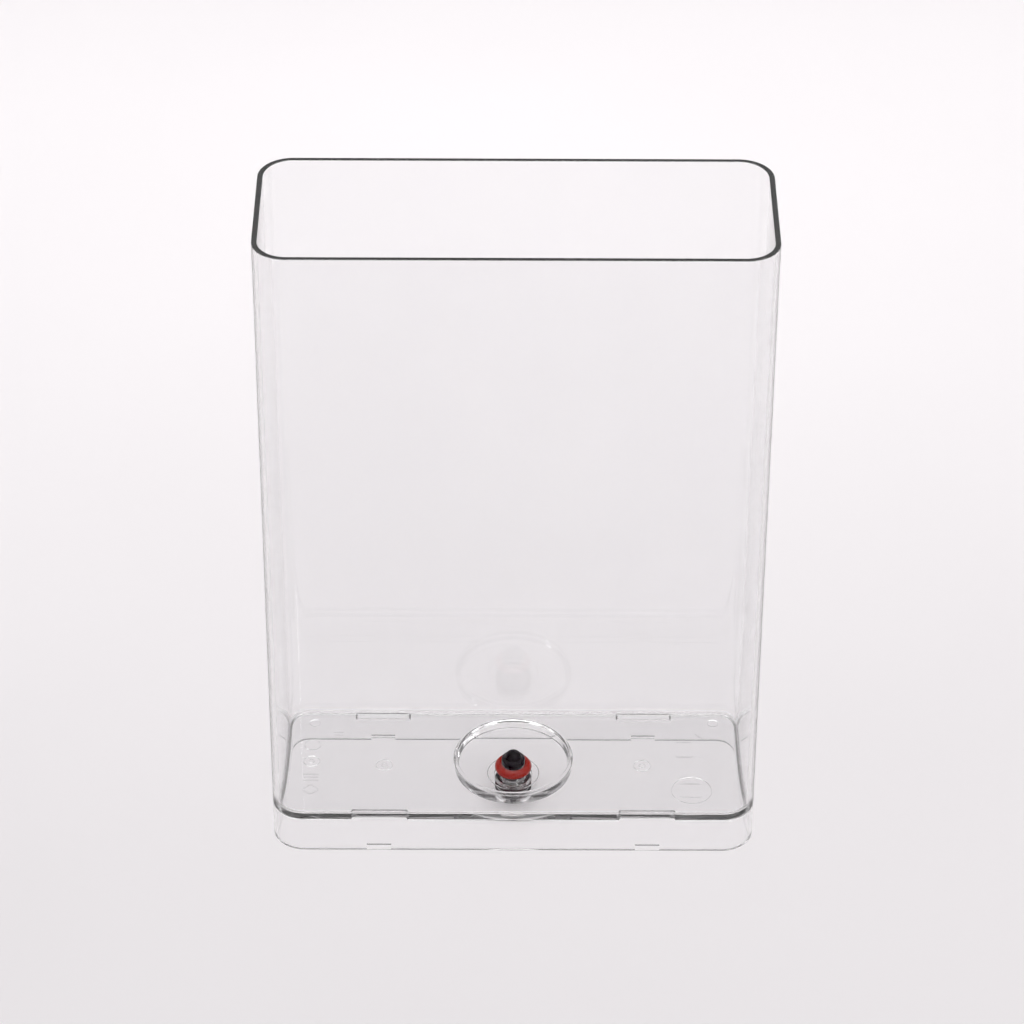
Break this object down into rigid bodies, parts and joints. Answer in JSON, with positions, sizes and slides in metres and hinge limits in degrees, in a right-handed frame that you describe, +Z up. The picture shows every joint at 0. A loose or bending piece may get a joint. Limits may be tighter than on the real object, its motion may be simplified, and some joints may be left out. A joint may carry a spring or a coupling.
{
  "type": "fresh water tank",
  "caption": "Tall clear plastic water tank with open top, raised floor on a skirt, round sump and a spring-closed outlet valve.",
  "frame": {"origin": "middle of the footprint, on the surface the tank stands on", "axes": "+Z up through the open top, +X along the wide faces, +Y towards the back wide face"},
  "size_m": [0.22, 0.081, 0.32],
  "materials": {
    "clear_plastic": "clear, polished",
    "black_plastic": "fine matt",
    "red_silicone": "satin",
    "black_rubber": "satin",
    "spring_steel": "bright drawn wire"
  },
  "bodies": {
    "tank": {"tank_body": "clear_plastic", "outlet_o_ring_upper": "black_rubber", "outlet_o_ring_lower": "black_rubber"},
    "valve": {"valve_plunger": "black_plastic", "seat_ring": "red_silicone", "spring_retainer": "black_plastic", "valve_spring": "spring_steel"}
  },
  "joints": [
    {"name": "valve_lift", "type": "slide", "parent": "tank", "child": "valve", "axis": [0, 0, 1], "range_m": [0, 0.003], "stiffness_N_per_m": 300, "springref_m": -0.002, "deforming": ["valve_spring"]}
  ]
}
